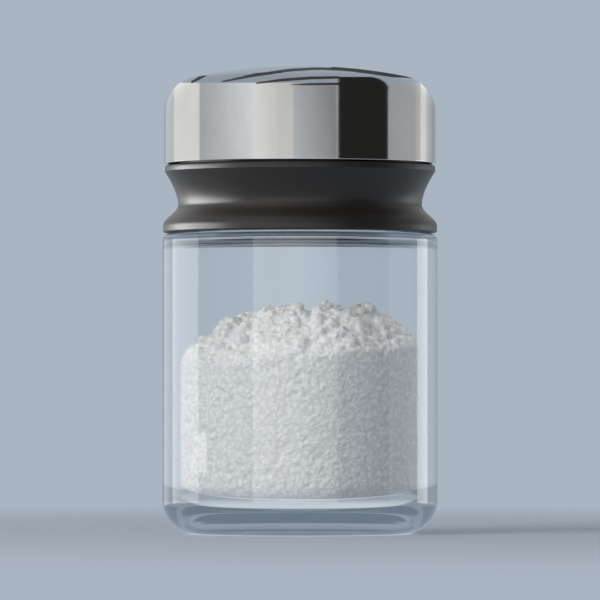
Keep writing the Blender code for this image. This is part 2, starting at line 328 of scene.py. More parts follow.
def makeIcingSugar(look):
    material, shader, coords = newMaterial("icingSugar")
    grains = coords.cells(look["grainScale"])
    crumbs = coords.cells(look["crumbScale"])
    powder = coords.noise(look["powderScale"], 3, 0.6)
    hollow = crumbs * 0.55 + grains * 0.30 + powder * 0.15
    # painted shade: the hollows between grains are painted a darker grey
    paintedPitShade = hollow.ramp((0.30, 0.0), (0.62, 1.0))
    setShader(
        shader,
        Base_Color=paintedPitShade.mixColor(look["color"], look["pitShade"]),
        Roughness=0.95,
        Normal=(1 - hollow).bump(0.5, look["relief"]),
        Subsurface_Weight=0.15,
        Subsurface_Scale=0.5 * mm,
        Subsurface_Radius=(1.0, 1.0, 1.0),
        Specular_IOR_Level=0.2,
    )
    return material


sieveSteel = {
    "color": (0.60, 0.595, 0.585),
    "dark": (0.46, 0.455, 0.45),
    "roughness": 0.22,
    "brushScale": 900,
    "cloudScale": 150,
}


def makeSieveSteel(look):
    material, shader, coords = newMaterial("sieveSteel")
    brushed = coords.stretched((1, 22, 1)).noise(look["brushScale"], 3, 0.6)
    cloud = coords.noise(look["cloudScale"], 3)
    setShader(
        shader,
        Metallic=1.0,
        Base_Color=(brushed * 0.5 + cloud * 0.3).mixColor(look["color"], look["dark"]),
        Roughness=look["roughness"] + brushed * 0.16,
        Normal=brushed.bump(0.12, 0.03 * mm),
    )
    return material


softSeal = {
    "color": (0.070, 0.070, 0.073),
    "bloom": (0.11, 0.11, 0.113),
    "roughness": 0.55,
    "bloomScale": 300,
    "grainScale": 3200,
}


def makeSoftSeal(look):
    material, shader, coords = newMaterial("softSeal")
    bloom = coords.noise(look["bloomScale"], 4)
    grain = coords.noise(look["grainScale"], 2)
    setShader(
        shader,
        Base_Color=(bloom * 0.7).mixColor(look["color"], look["bloom"]),
        Roughness=look["roughness"] + bloom * 0.2,
        Normal=grain.bump(0.2, 0.05 * mm),
    )
    return material


steelFinish = makePolishedSteel(polishedSteel)
collarFinish = makeBlackPlastic("satinBlackPlastic", blackPlastic)
linerFinish = makeBlackPlastic("linerPlastic", {**blackPlastic, "roughness": 0.46})
glassFinish = makeClearGlass(clearGlass)
sugarFinish = makeIcingSugar(icingSugar)
sieveFinish = makeSieveSteel(sieveSteel)
sealFinish = makeSoftSeal(softSeal)
print("finishes made")


# glass jar with a pressed base, a rounded shoulder and a two-start thread

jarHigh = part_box("glass_jar")[1]
jar = {
    "steps": 160,
    "radius": jarHigh.x,
    "rim": jarHigh.z,
    "wall": 3.4 * mm,
    "floor": 5.5 * mm,
    "baseCorner": 6.8 * mm,
    "innerCorner": 4.8 * mm,
    "puntRadius": 14.8 * mm,
    "puntDepth": 0.8 * mm,
    "shoulder": 60.9 * mm,
    "shoulderCorner": 1.3 * mm,
    "shoulderGlass": 2.0 * mm,
    "ceilingCorner": 1.2 * mm,
    "neckRadius": 20.8 * mm,
    "neckFillet": 0.5 * mm,
    "mouthRadius": 18.1 * mm,
    "mouthCorner": 0.6 * mm,
    "rimCorner": 1.1 * mm,
    "threadStarts": 2,
    "threadStart": 63.3 * mm,
    "threadLead": 8.0 * mm,
    "threadTurns": 0.625,
    "threadDepth": 1.2 * mm,
    "threadWidth": 2.0 * mm,
    "threadBite": 0.4 * mm,
    "threadSteps": 80,
    "threadRunOut": 14,
}


def jarOutline(j):
    r, corner = j["radius"], j["baseCorner"]
    cavity = r - j["wall"]
    ceiling = j["shoulder"] - j["shoulderGlass"]
    sphere = (j["puntRadius"] ** 2 + j["puntDepth"] ** 2) / (2 * j["puntDepth"])
    puntAngle = math.degrees(math.acos(j["puntRadius"] / sphere))
    line = arcPoints((0, j["puntDepth"] - sphere), sphere, 90, puntAngle, 10)
    line += arcPoints((r - corner, corner), corner, -90, 0, 20)
    sc = j["shoulderCorner"]
    line += arcPoints((r - sc, j["shoulder"] - sc), sc, 0, 90, 10)
    nf = j["neckFillet"]
    line += arcPoints((j["neckRadius"] + nf, j["shoulder"] + nf), nf, 270, 180, 5)
    rc = j["rimCorner"]
    line += arcPoints((j["neckRadius"] - rc, j["rim"] - rc), rc, 0, 90, 8)
    line += arcPoints((j["mouthRadius"] + rc, j["rim"] - rc), rc, 90, 180, 8)
    mc = j["mouthCorner"]
    line += arcPoints((j["mouthRadius"] + mc, ceiling + mc), mc, 180, 270, 8)
    cc = j["ceilingCorner"]
    line += arcPoints((cavity - cc, ceiling - cc), cc, 90, 0, 10)
    ic = j["innerCorner"]
    line += arcPoints((cavity - ic, j["floor"] + ic), ic, 0, -90, 14)
    return line + [(0, j["floor"])]


def threadRidge(j, start):
    # a trapezoid section drawn at the neck and screwed up it, with its ends run out into the glass
    half, bite = j["threadWidth"] / 2, j["threadBite"]
    foot, crest = j["neckRadius"] - bite, j["neckRadius"] + j["threadDepth"]
    z = j["threadStart"]
    section = [(foot, z - half), (foot + bite, z - half), (crest, z - half * 0.5), (crest, z + half * 0.5)]
    section += [(foot + bite, z + half), (foot, z + half), (foot, z - half)]
    ridge = drawLine("thread", section)
    bpy.ops.mesh.select_all(action="SELECT")
    bpy.ops.mesh.remove_doubles(threshold=weldGap)
    bpy.ops.object.mode_set(mode="OBJECT")
    turns, steps = j["threadTurns"], j["threadSteps"]
    applyModifier(
        ridge, "SCREW", angle=math.tau * turns, screw_offset=j["threadLead"] * turns, steps=steps,
        render_steps=steps, use_merge_vertices=False,
    )
    runOut = math.radians(j["threadRunOut"])
    for v in ridge.data.vertices:
        angle = math.atan2(v.co.y, v.co.x) % math.tau
        inset = min(angle, math.tau * turns - angle, runOut) / runOut
        radius = math.hypot(v.co.x, v.co.y)
        lower = foot + (radius - foot) * math.sin(inset * math.pi / 2)
        v.co.x *= lower / radius
        v.co.y *= lower / radius
    bpy.ops.object.mode_set(mode="EDIT")
    bpy.ops.mesh.select_all(action="SELECT")
    bpy.ops.mesh.fill_holes(sides=0)
    bpy.ops.transform.rotate(value=-math.pi * start, orient_axis="Z", center_override=(0, 0, 0))
    closeMesh(ridge, 40)
    return ridge


def makeJar(j):
    glass = turnPiece("jar_glass", jarOutline(j), j["steps"])
    for start in range(j["threadStarts"]):
        ridge = threadRidge(j, start)
        applyModifier(glass, "BOOLEAN", operation="UNION", object=ridge, solver="EXACT")
        bpy.data.objects.remove(ridge)
    pickOnly(glass)
    bpy.ops.object.shade_smooth_by_angle(angle=math.radians(40))
    fitPiece(glass, "jar", "glass_jar", glassFinish)


makeJar(jar)


# icing sugar, heaped and lumpy

sugarLow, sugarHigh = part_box("sugar_fill")
sugar = {
    "steps": 96,
    "rings": 24,
    "reach": sugarHigh.x,
    "foot": sugarLow.z,
    "corner": 4.5 * mm,
    "wallHeight": 33.4 * mm,
    "rise": 11.8 * mm,
    "middle": 2.6 * mm,
    "flat": 0.47,
    "slideEnd": 1.15,
    "slidePower": 1.2,
    "swell": 0.5 * mm,
    "swellScale": 170,
    "wander": 1.5 * mm,
    "wanderScale": 110,
    "notch": {"x": 1.6 * mm, "width": 1.4 * mm, "depth": 1.9 * mm},
    "clumps": ((170, 1.2 * mm, 2.1 * mm, 2), (620, 0.55 * mm, 1.1 * mm, 1)),  # count, sizes, cuts
    "clumpLift": (-0.45, 0.3),
    "voxel": 0.36 * mm,
    "crumbs": 0.36 * mm,
    "crumbLevel": 0.48,
    "crumbCells": ((600, 0.9), (1150, 0.8)),  # cells in a metre, depth
    "pockets": 0.24 * mm,
    "pocketPatches": 75,
    "wallBand": 0.6 * mm,
    "seed": 7,
}
grainShift = Vector((0.0137, 0.0071, 0.0043))


def heapHeight(s, x, y):
    # a flat-topped mound, a little to the right, that has slid down to the glass
    far = math.hypot(x - s["middle"], y) / s["reach"]
    slide = min(1.0, max(0.0, (far - s["flat"]) / (s["slideEnd"] - s["flat"])))
    mound = s["rise"] * (1 - slide ** s["slidePower"])
    spot = Vector((x, y, 0)) + grainShift
    swell = s["swell"] * noise.fractal(spot * s["swellScale"], 1.0, 2.0, 3)
    wander = s["wander"] * slide * noise.fractal(spot * s["wanderScale"], 0.9, 2.2, 3)
    cut = s["notch"]
    notch = cut["depth"] * math.exp(-(((x - cut["x"]) / cut["width"]) ** 2)) * (1 - slide)
    return s["wallHeight"] + mound + swell + wander - notch


def addClumps(s, rng, count, small, large, cuts):
    # rounded clumps, half sunk in the heap's top
    for i in range(count):
        radius = small + (large - small) * rng.uniform(0, 1) ** 1.6
        far = (s["reach"] - radius) * math.sqrt(rng.uniform(0, 1))
        turn = rng.uniform(0, math.tau)
        x, y = far * math.cos(turn), far * math.sin(turn)
        z = heapHeight(s, x, y) + radius * rng.uniform(*s["clumpLift"])
        bpy.ops.mesh.primitive_ico_sphere_add(
            subdivisions=cuts, radius=radius, location=(x, y, z),
            rotation=(rng.uniform(0, 3), rng.uniform(0, 3), 0),
            scale=(1, rng.uniform(0.75, 1.1), rng.uniform(0.65, 1)),
        )


def roughenSugar(s, heap):
    # crumbs on the open top, shallow pockets where the sugar lies on the glass
    normals = [v.normal.copy() for v in heap.data.vertices]
    for v, normal in zip(heap.data.vertices, normals):
        spot = v.co + grainShift
        crumb = s["crumbLevel"]
        for scale, depth in s["crumbCells"]:
            crumb -= depth * noise.voronoi(spot * scale)[0][0] ** 2
        move = 0.0
        if math.hypot(v.co.x, v.co.y) > s["reach"] - s["wallBand"] and normal.z < 0.6:
            loose = min(1.0, max(0.15, 0.55 + 1.6 * noise.noise(spot * s["pocketPatches"])))
            move = -s["pockets"] * loose * max(0.0, 0.1 - crumb) * 2
        elif normal.z > -0.2:
            move = 2 * s["crumbs"] * crumb
        v.co += normal * move
        radius = math.hypot(v.co.x, v.co.y)
        if radius > s["reach"]:
            v.co.x *= s["reach"] / radius
            v.co.y *= s["reach"] / radius
        v.co.z = max(v.co.z, s["foot"])
    heap.data.update()


def makeSugar(s):
    line = [(0, s["foot"])]
    line += arcPoints((s["reach"] - s["corner"], s["foot"] + s["corner"]), s["corner"], -90, 0, 8)
    line += [(s["reach"] * i / s["rings"], s["wallHeight"]) for i in range(s["rings"], -1, -1)]
    heap = turnPiece("sugar_heap", line, s["steps"])
    flatTop = s["wallHeight"] - 0.01 * mm
    for v in heap.data.vertices:
        if v.co.z > flatTop:
            v.co.z = heapHeight(s, v.co.x, v.co.y)
    rng = random.Random(s["seed"])
    pickOnly(heap)
    bpy.ops.object.mode_set(mode="EDIT")
    for family in s["clumps"]:
        addClumps(s, rng, *family)
    bpy.ops.object.mode_set(mode="OBJECT")
    applyModifier(heap, "REMESH", mode="VOXEL", voxel_size=s["voxel"], use_smooth_shade=True)
    applyModifier(heap, "SMOOTH", factor=0.5, iterations=3)
    roughenSugar(s, heap)
    fitPiece(heap, "jar", "sugar_fill", sugarFinish)
    return heap


heapPiece = makeSugar(sugar)


# soft sealing ring on the jar's rim

sealLow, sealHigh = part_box("neck_seal")
neckGasket = {"steps": 128, "inner": 18.5 * mm, "corner": 0.45 * mm}


def roundedRing(name, ring, outer, low, high):
    inner, corner = ring["inner"], ring["corner"]
    corners = [(outer, low, -90), (outer, high, 0), (inner, high, 90), (inner, low, 180)]
    line = []
    for x, z, angle in corners:
        middle = (x + (corner if x == inner else -corner), z + (corner if z == low else -corner))
        line += arcPoints(middle, corner, angle, angle + 90, 6)
    return turnPiece(name, line + [line[0]], ring["steps"])


gasket = roundedRing("neck_gasket", neckGasket, sealHigh.x, sealLow.z, sealHigh.z)
fitPiece(gasket, "neck_seal", "neck_seal", sealFinish)


# waisted collar

collarLow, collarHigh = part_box("screw_collar")
capLow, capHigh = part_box("cap_shell")
collar = {
    "steps": 160,
    "sharpAngle": 30,
    "foot": collarLow.z,
    "top": collarHigh.z,
    "flangeRadius": collarHigh.x,
    "flangeCorner": 0.3 * mm,
    "flangeEdge": 1.3 * mm,
    "flare": 5.6 * mm,
    "waistRadius": 24.8 * mm,
    "waist": 5.9 * mm,
    "waistPower": 1.6,
    "lipRadius": 27.5 * mm,
    "lipFoot": 12.4 * mm,
    "lipCorner": 0.55 * mm,
    "lipTop": capLow.z - 0.3 * mm,
    "spigotRadius": 24.5 * mm,
    "spigotCorner": 0.6 * mm,
    "grooveFoot": 17.5 * mm,
    "grooveWidth": 2.0 * mm,
    "grooveDepth": 1.0 * mm,
    "seatRadius": 22.4 * mm,
    "seat": 17.2 * mm,
    "boreRadius": 18.8 * mm,
    "web": sealHigh.z + 0.3 * mm,
    "skirtRadius": 22.4 * mm,
}


def gripRadius(c, height):
    # a soft S from the flange's upright edge to the waist, then opening to the lip
    if height > c["waist"]:
        share = (height - c["waist"]) / (c["lipFoot"] - c["waist"])
        return c["waistRadius"] + (c["lipRadius"] - c["waistRadius"]) * share ** c["waistPower"]
    share = 1 - max(0.0, height - c["flangeEdge"]) / (c["flare"] - c["flangeEdge"])
    share = max(0.0, share)
    return c["waistRadius"] + (c["flangeRadius"] - c["waistRadius"]) * (1 - math.cos(math.pi * share)) / 2


def collarOutline(c):
    foot = c["foot"]
    fc = c["flangeCorner"]
    line = arcPoints((c["flangeRadius"] - fc, foot + fc), fc, -90, 0, 5)
    heights = [c["flare"] * i / 20 for i in range(2, 21)]
    heights += [c["waist"] + (c["lipFoot"] - c["waist"]) * i / 22 for i in range(23)]
    line += [(gripRadius(c, height), foot + height) for height in heights]
    lc = c["lipCorner"]
    line += arcPoints((c["lipRadius"] - lc, c["lipTop"] - lc), lc, 0, 90, 5)
    spigot, groove = c["spigotRadius"], c["spigotRadius"] - c["grooveDepth"]
    low, high = foot + c["grooveFoot"], foot + c["grooveFoot"] + c["grooveWidth"]
    line += [(spigot, c["lipTop"]), (spigot, low), (groove, low), (groove, high), (spigot, high)]
    sc = c["spigotCorner"]
    line += arcPoints((spigot - sc, c["top"] - sc), sc, 0, 90, 5)
    seat = foot + c["seat"]
    line += [(c["seatRadius"], c["top"]), (c["seatRadius"], seat), (c["boreRadius"], seat)]
    line += [(c["boreRadius"], c["web"]), (c["skirtRadius"], c["web"]), (c["skirtRadius"], foot)]
    return line + [line[0]]


collarPiece = turnPiece("collar_grip", collarOutline(collar), collar["steps"], collar["sharpAngle"])
fitPiece(collarPiece, "collar", "screw_collar", collarFinish)


# perforated sieve: one holed tile, copied over a lattice and pressed into a dome

sieveLow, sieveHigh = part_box("sieve")
sieve = {
    "holeSides": 12,
    "holeRadius": 0.40 * mm,
    "spacing": 1.50 * mm,
    "rowSpacing": 1.50 * mm * math.sqrt(0.75),
    "tileWeld": 0.02 * mm,
    "field": 16.9 * mm,
    "domeRadius": 18.2 * mm,
    "domeRise": 3.0 * mm,
    "crease": 0.8 * mm,
    "sheet": 0.5 * mm,
    "rimRadius": sieveHigh.x,
    "foot": sieveLow.z,
}


def sieveTile(s, shift):
    # a ring of faces from the round hole out to a hexagon, moved to the lattice's first place
    clearSelection()
    bpy.ops.mesh.primitive_circle_add(vertices=s["holeSides"], radius=s["holeRadius"])
    sheet = bpy.context.object
    sheet.name = sheet.data.name = "sieve_sheet"
    bpy.ops.object.mode_set(mode="EDIT")
    bpy.ops.mesh.select_all(action="SELECT")
    grow = s["spacing"] / math.sqrt(3) / s["holeRadius"]
    bpy.ops.mesh.extrude_edges_move()
    bpy.ops.transform.resize(value=(grow, grow, 1))
    bpy.ops.object.mode_set(mode="OBJECT")
    # every second outer corner goes in to the middle of a hexagon's side
    for v in sheet.data.vertices:
        turn = round(math.degrees(math.atan2(v.co.y, v.co.x))) % 60
        if v.co.length > s["holeRadius"] * 1.01 and turn == 30:
            v.co *= math.cos(math.radians(30))
    for v in sheet.data.vertices:
        v.co = Vector((-v.co.y, v.co.x, 0)) + shift
    return sheet


def spreadTiles(s):
    gap, rowGap = s["spacing"], s["rowSpacing"]
    rows = 2 * math.ceil(s["field"] / rowGap) + 1
    columns = 2 * math.ceil(s["field"] / gap) + rows
    columns += 1 - columns % 2
    shift = Vector((-(columns - 1) / 2 * gap - (rows - 1) / 4 * gap, -(rows - 1) / 2 * rowGap, 0))
    sheet = sieveTile(s, shift)
    tileFaces = len(sheet.data.polygons)
    for count, step in ((columns, (gap, 0, 0)), (rows, (gap / 2, rowGap, 0))):
        applyModifier(
            sheet, "ARRAY", count=count, use_relative_offset=False, use_constant_offset=True,
            constant_offset_displace=step, use_merge_vertices=False,
        )
    for face in sheet.data.polygons:
        tile = face.index // tileFaces
        x = shift.x + gap * (tile % columns + (tile // columns) / 2)
        y = shift.y + rowGap * (tile // columns)
        face.select = math.hypot(x, y) > s["field"]
    bpy.ops.object.mode_set(mode="EDIT")
    bpy.ops.mesh.delete(type="FACE")
    bpy.ops.mesh.select_all(action="SELECT")
    bpy.ops.mesh.remove_doubles(threshold=s["tileWeld"])
    return sheet


def addSieveRim(s, sheet):
    # the outer edges, and not the holes' edges, are drawn out to a round flat rim
    bpy.ops.mesh.select_all(action="DESELECT")
    bpy.ops.mesh.select_mode(type="EDGE")
    bpy.ops.mesh.select_non_manifold()
    bpy.ops.object.mode_set(mode="OBJECT")
    inner = s["field"] - 1.5 * s["spacing"]
    for edge in sheet.data.edges:
        ends = [sheet.data.vertices[i].co for i in edge.vertices]
        onHole = (ends[0] - ends[1]).length < s["holeRadius"] * 0.55
        if edge.select and (onHole or min(e.length for e in ends) < inner):
            edge.select = False
    bpy.ops.object.mode_set(mode="EDIT")
    for radius in (s["domeRadius"], s["domeRadius"] + s["crease"], s["rimRadius"]):
        bpy.ops.mesh.extrude_edges_move()
        bpy.ops.transform.tosphere(value=1)
        bpy.ops.object.mode_set(mode="OBJECT")
        reach = max(v.co.length for v in sheet.data.vertices if v.select)
        bpy.ops.object.mode_set(mode="EDIT")
        bpy.ops.transform.resize(value=(radius / reach, radius / reach, 1))
    bpy.ops.mesh.select_mode(type="VERT")
    bpy.ops.mesh.select_all(action="SELECT")
    bpy.ops.mesh.normals_make_consistent(inside=False)
    bpy.ops.object.mode_set(mode="OBJECT")


def makeSieve(s):
    sheet = spreadTiles(s)
    addSieveRim(s, sheet)
    sphere = (s["domeRadius"] ** 2 + s["domeRise"] ** 2) / (2 * s["domeRise"])
    for v in sheet.data.vertices:
        far = min(v.co.length, s["domeRadius"])
        v.co.z = s["foot"] + s["domeRise"] - sphere + math.sqrt(sphere ** 2 - far ** 2)
    applyModifier(sheet, "SOLIDIFY", thickness=s["sheet"], offset=1)
    low = min(v.co.z for v in sheet.data.vertices)
    for v in sheet.data.vertices:
        v.co.z += s["foot"] - low
    pickOnly(sheet)
    bpy.ops.object.shade_smooth_by_angle(angle=math.radians(35))
    fitPiece(sheet, "collar", "sieve", sieveFinish)


makeSieve(sieve)


# ring that clamps the sieve, and the soft ring that grips the cap

clampLow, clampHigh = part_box("sieve_clamp_ring")
clampRing = {"steps": 128, "footInner": 19.2 * mm, "topInner": 20.5 * mm, "corner": 0.35 * mm}


def makeClampRing(c):
    k = c["corner"]
    outer, low, high = clampHigh.x, clampLow.z, clampHigh.z
    line = [(c["footInner"], low), (outer, low)]
    line += arcPoints((outer - k, high - k), k, 0, 90, 5)
    line += arcPoints((c["topInner"] + k, high - k), k, 90, 200, 6)
    ring = turnPiece("clamp_ring_turned", line + [line[0]], c["steps"])
    fitPiece(ring, "collar", "sieve_clamp_ring", collarFinish)


makeClampRing(clampRing)
gripLow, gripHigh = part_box("cap_grip_ring")
gripBand = {"steps": 128, "inner": 23.8 * mm, "corner": 0.45 * mm}
band = roundedRing("grip_band", gripBand, gripHigh.x, gripLow.z, gripHigh.z)
fitPiece(band, "collar", "cap_grip_ring", sealFinish)


# polished cap with a rounded rim, and its liner

cap = {
    "steps": 192,
    "foot": capLow.z,
    "top": capHigh.z,
    "radius": capHigh.x,
    "sheet": 0.8 * mm,
    "edge": 7.5 * mm,
    "dome": 110.0 * mm,
    "hem": 0.12 * mm,
}


def capEdge(c):
    # middle of the rounded edge, its height, and the angle where the dome takes over
    middle = c["radius"] - c["edge"]
    slope = math.asin(middle / (c["dome"] - c["edge"]))
    height = c["top"] - c["dome"] + (c["dome"] - c["edge"]) * math.cos(slope)
    return middle, height, 90 - math.degrees(slope)


def capSkin(c, inset):
    # from the rim up over the rounded edge to the top of the dome
    middle, height, end = capEdge(c)
    skin = arcPoints((middle, height), c["edge"] - inset, 0, end, 24)
    skin += arcPoints((0, c["top"] - c["dome"]), c["dome"] - inset, end, 90, 24)[1:]
    return skin


def makeCap(c):
    hem, foot = c["hem"], c["foot"]
    inner = c["radius"] - c["sheet"]
    line = capSkin(c, 0)[::-1]
    line += arcPoints((c["radius"] - hem, foot + hem), hem, 0, -90, 5)
    line += arcPoints((inner + hem, foot + hem), hem, -90, -180, 5)
    line += capSkin(c, c["sheet"])
    shell = turnPiece("cap_steel", line, c["steps"])
    fitPiece(shell, "cap", "cap_shell", steelFinish)


makeCap(cap)
linerLow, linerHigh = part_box("cap_liner")
capLiner = {"steps": 128, "wall": 1.4 * mm, "gap": 0.4 * mm, "footCorner": 0.4 * mm}


def makeLiner(c):
    middle, edgeHeight, _ = capEdge(cap)
    outer = cap["edge"] - cap["sheet"] - c["gap"]
    inner = outer - c["wall"]
    roof, ceiling = linerHigh.z, linerHigh.z - c["wall"]
    outerEnd = math.degrees(math.asin((roof - edgeHeight) / outer))
    innerEnd = math.degrees(math.asin((ceiling - edgeHeight) / inner))
    k, foot = c["footCorner"], linerLow.z
    line = [(0, roof)] + arcPoints((middle, edgeHeight), outer, outerEnd, 0, 10)
    line += arcPoints((middle + outer - k, foot + k), k, 0, -90, 4)
    line += arcPoints((middle + inner + k, foot + k), k, -90, -180, 4)
    line += arcPoints((middle, edgeHeight), inner, 0, innerEnd, 10) + [(0, ceiling)]
    liner = turnPiece("cap_inner", line, c["steps"])
    fitPiece(liner, "cap", "cap_liner", linerFinish)


makeLiner(capLiner)


# camera far away and almost level

view = {"distance": 1.3, "height": 28 * mm, "aim": 47.5 * mm, "frameHeight": 122 * mm}
clearSelection()
bpy.ops.object.camera_add(location=(0, -view["distance"], view["height"]))
camera = bpy.context.object
aimed = Vector((0, view["distance"], view["aim"] - view["height"]))
camera.rotation_euler = aimed.to_track_quat("-Z", "Y").to_euler()
camera.data.lens = camera.data.sensor_width * aimed.length / view["frameHeight"]
camera.data.clip_start = 1 * mm
bpy.context.scene.camera = camera
bpy.context.scene.view_settings.view_transform = "Standard"


# studio: a pale floor that fades into the same pale surround, and soft lamps

studio = {
    "pale": (0.40, 0.46, 0.535),
    "floor": (0.50, 0.575, 0.67),
    "speck": 0.97,
    "speckScale": 500,
    "floorRadius": 4.0,
    "floorDrop": 0.02 * mm,
    "fill": 0.46,
    "fadeFrom": 0.08,
    "fadeTo": 0.36,
    # a painted pool of light on the floor under the jar that lights the sugar from below through the glass
    # base, with its colour and the radii where it fades out
    "under": (0.78, 0.84, 0.90),
    "underFrom": 0.020,
    "underTo": 0.026,
    "lampAim": 65 * mm,
}
keyLamp = {"azimuth": -50, "distance": 0.85, "height": 0.42, "size": (0.5, 0.5), "watts": 4.0}
rimLamp = {"azimuth": -99, "distance": 0.8, "height": 0.065, "size": (0.9, 0.26), "watts": 8.5}
heapLamps = {
    "heap_lamp": {"azimuth": -40, "distance": 0.6, "height": 1.3, "size": (0.3, 0.3), "watts": 3.2},
    "back_lamp": {"azimuth": 150, "distance": 0.85, "height": 0.36, "size": (0.6, 0.5), "watts": 3.0},
}


def makeWorld(s):
    world = bpy.data.worlds.new("studioSurround")
    bpy.context.scene.world = world
    world.use_nodes = True
    tree = world.node_tree
    seen = tree.nodes["Background"]
    seen.inputs["Color"].default_value = (*s["pale"], 1)
    path = tree.nodes.new("ShaderNodeLightPath")
    rays = [Wire(tree, path.outputs[n]) for n in ("Is Camera Ray", "Is Glossy Ray", "Is Transmission Ray")]
    anyRay = rays[0] + rays[1] + rays[2]
    mask = anyRay.math("MINIMUM", anyRay, 1.0)
    fill = mask.add("Background", {}, {"Color": (1, 1, 1, 1), "Strength": s["fill"]})
    shown = mask.add("MixShader", {}, {0: mask, 1: fill, 2: Wire(tree, seen.outputs[0])})
    tree.links.new(shown.socket, tree.nodes["World Output"].inputs["Surface"])


def makeFloor(s):
    clearSelection()
    bpy.ops.mesh.primitive_circle_add(
        vertices=64, radius=s["floorRadius"], fill_type="NGON", location=(0, 0, -s["floorDrop"])
    )
    floor = bpy.context.object
    floor.name = "floor"
    material, shader, coords = newMaterial("paleFloor")
    far = coords.add("VectorMath", {"operation": "LENGTH"}, {0: coords}, output=1)
    fade = far.ease(s["fadeFrom"], s["fadeTo"])
    under = far.ease(s["underFrom"], s["underTo"], 1, 0)  # a painted pool of light on the floor under the jar, glowing for every ray
    fade = fade.math("MAXIMUM", fade, under)
    tree = material.node_tree
    path = tree.nodes.new("ShaderNodeLightPath")
    fade = fade.math("MAXIMUM", fade, Wire(tree, path.outputs["Is Transmission Ray"]))
    speckle = coords.noise(s["speckScale"], 4)
    setShader(
        shader,
        Base_Color=speckle.mixColor(s["floor"], tuple(s["speck"] * c for c in s["floor"])),
        Roughness=0.9,
        Specular_IOR_Level=0.2,
    )
    # the glow is the pale surround far off and, under the jar, the painted pool of light
    glow = fade.add("Emission", {}, {"Color": under.mixColor(s["pale"], s["under"]), "Strength": 1.0})
    shown = fade.add("MixShader", {}, {0: fade, 1: Wire(tree, shader.outputs[0]), 2: glow})
    tree.links.new(shown.socket, tree.nodes["Material Output"].inputs["Surface"])
    floor.data.materials.append(material)
    floor.visible_glossy = False  # mirrors see the same pale surround there, and the cards reach below it


def makeLamp(name, k):
    turn = math.radians(k["azimuth"])
    place = Vector((k["distance"] * math.sin(turn), -k["distance"] * math.cos(turn), k["height"]))
    clearSelection()
    bpy.ops.object.light_add(type="AREA", location=place)
    lamp = bpy.context.object
    lamp.name = name
    lamp.rotation_euler = (Vector((0, 0, studio["lampAim"])) - place).to_track_quat("-Z", "Y").to_euler()
    lamp.data.shape = "RECTANGLE"
    lamp.data.size, lamp.data.size_y = k["size"]
    lamp.data.energy = k["watts"]
    return lamp


def lightOnly(lamp, piece):
    # a lamp linked to one piece, so that it puts no streak on the glass or the steel
    lit = bpy.data.collections.new(lamp.name + "_lit")
    lit.objects.link(piece)
    lamp.light_linking.receiver_collection = lit
    return lit


# cards that only mirrors see, each laid out by the stretch of the cap's front that shows it

white, cool, warm = (1, 1, 1), (0.95, 1.0, 1.04), (1.03, 1.0, 0.95)
panelCards = {
    # name: from and to across the cap, brightness at left and right, tint, how much brighter it is low down
    "panel_edge_left": (-0.985, -0.925, 0.68, 0.70, cool, 1.7),
    "panel_left": (-0.925, -0.738, 0.94, 0.95, white, 3.0),
    "panel_front_left": (-0.738, -0.340, 0.54, 0.97, cool, 1.0),
    "panel_front": (-0.340, -0.165, 0.98, 0.80, white, 2.8),
    "panel_middle": (-0.165, -0.050, 0.76, 0.76, white, 3.4),
    "panel_front_right": (-0.050, 0.268, 0.61, 0.30, cool, 4.6),
    "panel_slit": (0.268, 0.281, 0.50, 0.50, white, 1.0),
    "card_black": (0.281, 0.646, 0.022, 0.022, warm, 1.0),
    "panel_right": (0.646, 0.850, 0.46, 0.50, cool, 1.7),
    "panel_far_right": (0.850, 0.885, 0.56, 0.64, white, 5.0),
    "panel_right_back": (0.885, 0.925, 0.94, 0.88, white, 3.4),
    "panel_edge_right": (0.925, 0.985, 0.74, 0.36, cool, 1.5),
}
cards = {
    "distance": 0.9,
    "columns": 24,
    "rows": 16,
    "foot": -60 * mm,
    "top": 91.7 * mm,
    "lowStrip": (0.048, 0.0507),  # how far up a card, by its own height, the brighter foot ends
    "stripNearer": 0.97,
    "stripTones": (0.08, 0.05),
    "windowNearer": 0.94,
    "edgeOn": 0.985,  # how far round to its side the mirror is followed
    "rounds": 24,
}
blackCorner = {"top": 92.9 * mm, "from": 0.6, "drop": 2.4 * mm}
darkStrips = {
    # dark lines on the cap's dome, by places on its front and how thick they look there, in millimetres
    "strip_high": (
        (-15.9, 91.9, 0.3), (-8.9, 93.3, 0.65), (-2.0, 94.25, 0.65), (3.5, 94.6, 0.5), (8.9, 94.4, 0.6),
        (14.4, 93.85, 0.8), (19.2, 93.15, 0.8), (21.2, 92.95, 0.1),
    ),
    "strip_middle": ((-8.9, 91.6, 0.3), (-3.8, 92.25, 0.6), (1.6, 92.65, 0.6), (8.0, 92.8, 0.5)),
    "strip_low": ((-2.0, 91.3, 0.1), (1.6, 91.4, 0.45), (8.0, 91.5, 0.5)),
    "strip_left": ((-22.1, 91.8, 0.5), (-20.6, 92.6, 0.7), (-19.0, 93.2, 0.2)),
}
# a small window that the jar's wall mirrors low down at its left
glassWindow = {"x": (-22.4 * mm, -19.0 * mm), "z": (12.4 * mm, 20.0 * mm), "lean": 0.8 * mm, "glow": 3.6}


def jarSlope(z):
    return 0.0, jar["radius"]


def capSlope(z):
    # how far the cap's skin leans back at a height, and its radius there
    middle, edgeHeight, end = capEdge(cap)
    if z > edgeHeight + cap["edge"] * math.sin(math.radians(end)):
        tilt = math.asin(min(1.0, (z - cap["top"] + cap["dome"]) / cap["dome"]))
        return tilt, cap["dome"] * math.cos(tilt)
    tilt = math.asin(max(0.0, z - edgeHeight) / cap["edge"])
    return tilt, middle + cap["edge"] * math.cos(tilt)


